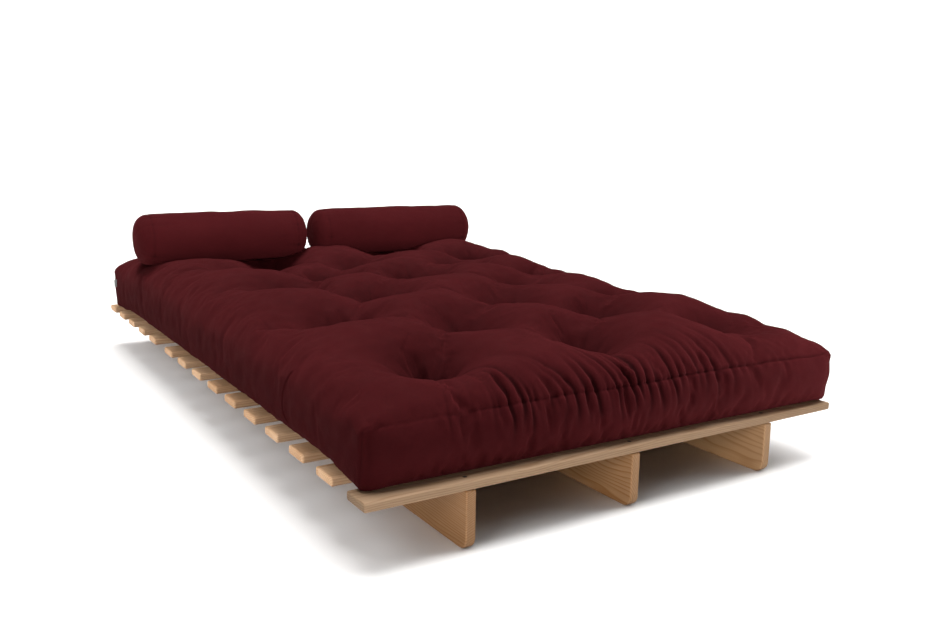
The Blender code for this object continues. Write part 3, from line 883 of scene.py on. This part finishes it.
def make_mattress():
    wrap, foot, head = mattress_grids()
    piece = cover_mesh("mattress", wrap, foot, head, 8, 2)
    mesh = piece.data
    points = read_points(mesh)
    rows, around = wrap.shape[:2]
    wraps, inner = rows * around, (FINE_TOPS - 1) * FINE_SIDES
    # how far each point is from the seams at its end, and which side of the foot seam it is on
    from_foot = np.full(len(points), 1.0)
    from_foot[:wraps] = np.linalg.norm(wrap - wrap[:1], axis=-1).ravel()
    from_head = np.full(len(points), 1.0)
    from_head[:wraps] = np.linalg.norm(wrap - wrap[-1:], axis=-1).ravel()
    inward, down = from_foot.copy(), np.zeros(len(points))
    for number, (panel, away) in enumerate(((foot, from_foot), (head, from_head))):
        part = slice(wraps + number * inner, wraps + (number + 1) * inner)
        inside = panel[1:-1, :-1]
        below = np.linalg.norm(inside - panel[1:-1, -1:], axis=-1)
        beside = np.minimum(inside[..., 0] - panel[0, 0, 0], panel[-1, 0, 0] - inside[..., 0])
        away[part] = np.minimum(below, beside).ravel()
        if number == 0:
            inward[part] = 0
            down[part] = below.ravel()
    press_under_bolsters(points)
    write_points(mesh, points)
    normals = read_normals(mesh)
    # the foot seam sinks into the cloth where that is gathered least
    marks = (-0.585, -0.555, -0.40, -0.10, 0.30)
    crisp = np.interp(points[:, 0], marks, (1.0, 0.4, 0.35, 0.7, 1.0))
    seams = crisp * seam_groove(from_foot) + seam_groove(from_head)
    foldable = (inward < 0.25) & (normals[:, 2] > -0.5) & (np.abs(normals[:, 0]) < 0.8)
    lift = seams + np.where(foldable, pleat_depth(points[:, 0], inward, down), 0)
    on_top = smooth((normals[:, 2] - 0.2) / 0.3)
    lift += on_top * tuft_creases(points)
    # painted shade: the cloth is darkened in the ties' dimples and in creases and seams, the seams
    # counted half again as deep
    pit = 0.50 * on_top * np.clip(tuft_sink(points[:, 0], points[:, 1], 0.060), 0, 1)
    store_painted_shade(mesh, lift - 0.5 * seams, 0.0044, pit)
    on_side = smooth((np.abs(normals[:, 0]) - 0.3) / 0.4)
    lift += on_side * 0.0005 * ripple(points, 0.10, 31, (3.0, 1.0, 4.0))
    lift += 0.0008 * ripple(points, 0.045, 37) * (points[:, 2] > DECK + 0.01)
    points += normals * lift[:, None]
    under = points[:, 2] < REST + 0.0006
    points[under, 2] = bottom_height(points[under, 0], points[under, 1])
    write_points(mesh, points)
    mesh.materials.append(fabric_material("mattress_drill", flat_weave))
    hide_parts("mattress_seat", "mattress_back")
    blend_at_fold(piece)
    return piece


# ---------------------------------------------------------------- bolsters

DOME = 0.044
GATHERS = 46
DOME_STEPS, BODY_STEPS, TURNS = 16, 80, 120


def ring_mesh(name, rings):
    """A closed mesh from rings of points, the first and last of which are single points."""
    count, turns = rings.shape[:2]
    points = np.concatenate([rings[0, :1], rings[1:-1].reshape(-1, 3), rings[-1, :1]])
    last = len(points) - 1
    index = 1 + np.arange((count - 2) * turns).reshape(count - 2, turns)
    ahead = np.roll(index, -1, axis=1)
    faces = np.stack([index[:-1], ahead[:-1], ahead[1:], index[1:]], -1).reshape(-1, 4).tolist()
    faces += [[0, int(b), int(a)] for a, b in zip(index[0], ahead[0])]
    faces += [[last, int(a), int(b)] for a, b in zip(index[-1], ahead[-1])]
    return closed_mesh(name, points, faces)


def make_bolster(node, seed):
    low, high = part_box(node)
    centre, radius = (low + high) / 2, (high.z - low.z) / 2 - 0.002
    half = (high.x - low.x) / 2 - BOLSTER_TRIM[node]
    centre.x += BOLSTER_SHIFT[node]
    turn = np.linspace(0, math.pi / 2, DOME_STEPS + 1)
    dome_x = -half + DOME * (1 - np.cos(turn))
    dome_r = np.sin(turn) ** 0.62
    body_x = np.linspace(-half + DOME, half - DOME, BODY_STEPS + 1)[1:-1]
    x = np.concatenate([dome_x, body_x, -dome_x[::-1]])
    r = radius * np.concatenate([dome_r, np.ones_like(body_x), dome_r[::-1]])
    r *= 1 - 0.035 * (x / half) ** 2
    angle = np.linspace(0, 2 * math.pi, TURNS, endpoint=False)
    rings = np.empty((len(x), TURNS, 3))
    rings[..., 0] = x[:, None]
    rings[..., 1] = r[:, None] * np.cos(angle)
    rings[..., 2] = r[:, None] * np.sin(angle)
    rings += np.array(centre)
    rings[1:-1] += 0.0012 * ripple(rings[1:-1], 0.12, seed)[..., None] * (0, 0.7, 0.7)
    name = node + "_cushion"
    piece = add_piece(name, ring_mesh(name, rings))
    mesh = piece.data
    points = read_points(mesh)
    free = np.zeros(len(points))
    points = simulate(piece, free, most=0.004, pressure=2.0, shrink=-0.03, frames=12)
    write_points(mesh, points)
    normals = read_normals(mesh)
    # the round seam at each end, with its gathers
    from_seam = half - DOME + 0.004 - np.abs(points[:, 0] - centre.x)
    off_y, off_z = points[:, 1] - centre.y, points[:, 2] - centre.z
    around = np.arctan2(off_z, off_y)
    draw = np.random.default_rng(seed)
    lift = -0.0014 * np.exp(-((from_seam / 0.0026) ** 2))
    for side in (-1, 1):
        here = (points[:, 0] - centre.x) * side > 0
        for _ in range(GATHERS):
            place, depth = draw.uniform(-math.pi, math.pi), draw.uniform(0.0004, 0.0016)
            length, width = draw.uniform(0.012, 0.045), draw.uniform(0.0022, 0.0045)
            off = (around - place + math.pi) % (2 * math.pi) - math.pi
            fold = np.exp(-((off * radius / width) ** 2)) * np.exp(-np.abs(from_seam) / length)
            lift -= here * depth * fold
    # painted shade: the cloth is darkened in the end seams' grooves and gathers
    store_painted_shade(mesh, lift, 0.0055)
    lift += 0.0011 * ripple(points, 0.09, seed + 3, (1.6, 1.0, 1.0))
    lift += 0.0003 * ripple(points, 0.03, seed + 4)
    points += normals * lift[:, None]
    # it is flat where it lies on the mattress
    rest = low.z + 0.0005
    points[:, 2] = rest + np.logaddexp(0, (points[:, 2] - rest) / 0.003) * 0.003
    write_points(mesh, points)
    weave = round_weave(centre.y, centre.z, radius)
    mesh.materials.append(fabric_material(node + "_drill", weave))
    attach(piece, node)
    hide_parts(node)
    return piece


# ---------------------------------------------------------------- small pieces

def add_rod(bm, ends, radius):
    """A short round rod with rounded ends, in an open bmesh."""
    steps = 8
    start, end = map(Vector, ends)
    way = (end - start).normalized()
    side = way.orthogonal().normalized()
    over = way.cross(side)
    length = (end - start).length
    marks = ((0, 0), (0.03, 0.6), (0.12, 0.95), (0.5, 1.0), (0.88, 0.95), (0.97, 0.6), (1, 0))
    rings = []
    for place, share in marks:
        middle = start + way * length * place
        turns = [2 * math.pi * k / steps for k in range(steps if share else 1)]
        rings.append([
            bm.verts.new(middle + (side * math.cos(a) + over * math.sin(a)) * radius * share)
            for a in turns
        ])
    for one, two in zip(rings, rings[1:]):
        for k in range(steps):
            m = (k + 1) % steps
            if len(one) == 1:
                bm.faces.new((one[0], two[k], two[m]))
            elif len(two) == 1:
                bm.faces.new((one[k], two[0], one[m]))
            else:
                bm.faces.new((one[k], two[k], two[m], one[m]))


def add_quads(bm, grid):
    """Faces between rows of points."""
    for one, two in zip(grid, grid[1:]):
        for a, b, c, d in zip(one, one[1:], two[1:], two):
            bm.faces.new((a, b, c, d))


def finish_bmesh(name, bm, material):
    bmesh.ops.recalc_face_normals(bm, faces=bm.faces)
    mesh = bpy.data.meshes.new(name)
    bm.to_mesh(mesh)
    bm.free()
    mesh.shade_smooth()
    mesh.materials.append(material)
    return add_piece(name, mesh)


def make_ties(surface, material):
    """A crossed knot of thick thread at the bottom of each dimple."""
    draw = np.random.default_rng(3)
    bm = bmesh.new()
    for x, y in TUFTS:
        place = surface.ray_cast(Vector((x, y, 1)), Vector((0, 0, -1)))[0]
        turn = draw.uniform(0, math.pi)
        for extra in (0.0, math.pi / 2.3):
            way = Vector((math.cos(turn + extra), math.sin(turn + extra), 0)) * 0.006
            middle = place + Vector((0, 0, 0.0015 if extra else 0.0006))
            add_rod(bm, (middle - way, middle + way), 0.0011)
    piece = finish_bmesh("tuft_ties", bm, material)
    blend_at_fold(piece)


def blend_at_fold(piece):
    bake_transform(piece)


# the closing seam's path down the left side, as y and z
SLIT = (
    (-0.648, 0.282),
    (-0.634, 0.264),
    (-0.617, 0.243),
    (-0.606, 0.218),
    (-0.606, 0.190),
    (-0.622, 0.162),
)


def make_slit_seam(surface, material):
    """The hand-sewn closing seam on the left side: two lips of cloth that meet in a groove."""
    marks = np.array(SLIT)
    t = np.linspace(0, len(marks) - 1, 61)
    path = resample(marks, t, 0)
    bm = bmesh.new()
    strips = ((-0.0034, -0.0006), (-0.0022, 0.0016), (-0.0008, 0.0006), (0.0, -0.0012),
              (0.0008, 0.0006), (0.0022, 0.0013), (0.0034, -0.0006))
    rows = []
    for number, (y, z) in enumerate(path):
        ahead = path[min(number + 1, len(path) - 1)] - path[max(number - 1, 0)]
        ahead = ahead / np.linalg.norm(ahead)
        taper = min(1.0, number / 6, (len(path) - 1 - number) / 6)
        row = []
        for off, lift in strips:
            spot = Vector((-1, y - ahead[1] * off * (0.3 + 0.7 * taper), z + ahead[0] * off))
            hit, normal, _, _ = surface.ray_cast(spot, Vector((1, 0, 0)))
            row.append((hit, normal, lift * taper))
        rows.append(row)
    upper = [[bm.verts.new(hit + normal * lift) for hit, normal, lift in row] for row in rows]
    lower = [[bm.verts.new(hit - normal * 0.0030) for hit, normal, lift in row] for row in rows]
    add_quads(bm, upper)
    add_quads(bm, lower)
    for one, two in zip(zip(upper, lower), list(zip(upper, lower))[1:]):
        for k in (0, -1):
            bm.faces.new((one[0][k], one[1][k], two[1][k], two[0][k]))
    for top, under in ((upper[0], lower[0]), (upper[-1], lower[-1])):
        for k in range(len(strips) - 1):
            bm.faces.new((top[k], top[k + 1], under[k + 1], under[k]))
    piece = finish_bmesh("closing_seam", bm, material)
    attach(piece, "seat_frame")


def make_label(surface, material):
    """A folded cloth tab sewn into the side near the head."""
    low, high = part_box("label_tab")
    middle, tall = (low + high) / 2, high.z - low.z
    hit = surface.ray_cast(Vector((-1, middle.y, middle.z)), Vector((1, 0, 0)))[0]
    bm = bmesh.new()
    outs, ups = 8, 12
    layers = []
    for face in (-1, 1):
        grid = []
        for i in range(outs + 1):
            out = i / outs
            thick = 0.0006 + 0.0005 * math.sin(math.pi * min(1, out * 1.1)) - 0.0004 * (out > 0.99)
            curl = 0.0022 * out**2
            grid.append([
                bm.verts.new((
                    hit.x + 0.002 - 0.0095 * out,
                    middle.y + curl + 0.0005 * math.sin(5 * k / ups + 2 * out) + face * thick,
                    low.z + tall * k / ups,
                ))
                for k in range(ups + 1)
            ])
        layers.append(grid)
    for grid in layers:
        add_quads(bm, grid)
    back, front = layers
    for i in range(outs):
        for k in (0, -1):
            bm.faces.new((back[i][k], back[i + 1][k], front[i + 1][k], front[i][k]))
    for k in range(ups):
        for i in (0, -1):
            bm.faces.new((back[i][k], back[i][k + 1], front[i][k + 1], front[i][k]))
    piece = finish_bmesh("side_label", bm, material)
    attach(piece, "back_frame")
    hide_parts("label_tab")


def add_screw_head(bm, place, way, radius=0.0042):
    """A low domed head with a cross recess."""
    way = Vector(way).normalized()
    side = way.orthogonal().normalized()
    over = way.cross(side)
    steps = 16

    def ring(share, height, cross=False):
        found = []
        for k in range(steps):
            a = 2 * math.pi * k / steps
            wide = share * (1.0 if not cross or k % 4 == 0 else 0.42)
            spot = (side * math.cos(a) + over * math.sin(a)) * radius * wide
            found.append(bm.verts.new(Vector(place) + spot + way * height))
        return found

    rings = [ring(0.6, -0.0012), ring(1.0, 0.0), ring(0.86, 0.0004), ring(0.66, 0.0005, True),
             ring(0.60, -0.0006, True)]
    for one, two in zip(rings, rings[1:]):
        for k in range(steps):
            m = (k + 1) % steps
            bm.faces.new((one[k], one[m], two[m], two[k]))
    bm.faces.new(rings[0][::-1])
    bm.faces.new(rings[-1])


LEAF_KNUCKLE = 0.036  # the end of a hinge leaf that has no screws


def make_screws(material):
    """The screws that hold the slats to the planks, and those of the hinge leaves."""
    for body, slats in (("seat_frame", SEAT_SLATS), ("back_frame", BACK_SLATS)):
        key = "seat" if body == "seat_frame" else "back"
        bm = bmesh.new()
        for side in ("left", "centre", "right"):
            low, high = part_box(f"{key}_plank_{side}")
            middle = (low + high) / 2
            for slat in slats:
                slat_low, slat_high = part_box(slat)
                y = (slat_low.y + slat_high.y) / 2
                add_screw_head(bm, (middle.x, y, slat_high.z + 0.0001), (0, 0, 1))
            leaf_low, leaf_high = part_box(f"hinge_{key}_leaf_{side}")
            outward = 1 if (leaf_low.x + leaf_high.x) / 2 > middle.x else -1
            face = leaf_high.x if outward > 0 else leaf_low.x
            start = leaf_low.y + (0 if key == "seat" else LEAF_KNUCKLE)
            end = leaf_high.y - (LEAF_KNUCKLE if key == "seat" else 0)
            for share in (0.18, 0.80):
                y = start + (end - start) * share
                spot = (face + outward * 0.0002, y, leaf_high.z - 0.013)
                add_screw_head(bm, spot, (outward, 0, 0), radius=0.0035)
        piece = finish_bmesh(f"{key}_screws", bm, material)
        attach(piece, body)


# ---------------------------------------------------------------- finishes of the CAD's pieces

def finish_frame(steel, screws):
    slat_pine = pine_material("slat_pine", "X", 3.0)
    plank_pine = pine_material("plank_pine", "Y", 8.0)
    for name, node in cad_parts.items():
        if name in PLANKS:
            material = plank_pine
        elif "_screw_" in name:
            material = screws
        elif "slat" in name or name == "front_board":
            material = slat_pine
        else:
            material = steel
        node.data.materials.clear()
        node.data.materials.append(material)


make_camera()
zinc = steel_material()
dark_screws = screw_material()
finish_frame(zinc, dark_screws)
make_screws(dark_screws)
cover = make_mattress()
surface = BVHTree.FromObject(cover, bpy.context.evaluated_depsgraph_get())
make_ties(surface, cover.data.materials[0])
make_slit_seam(surface, cover.data.materials[0])
make_label(surface, label_material())
cushions = [make_bolster(node, 40 + 10 * number) for number, node in enumerate(BOLSTERS)]
ground = make_floor()
make_world()
make_suns(ground, cover, cushions)
make_corner_lamp(cover)
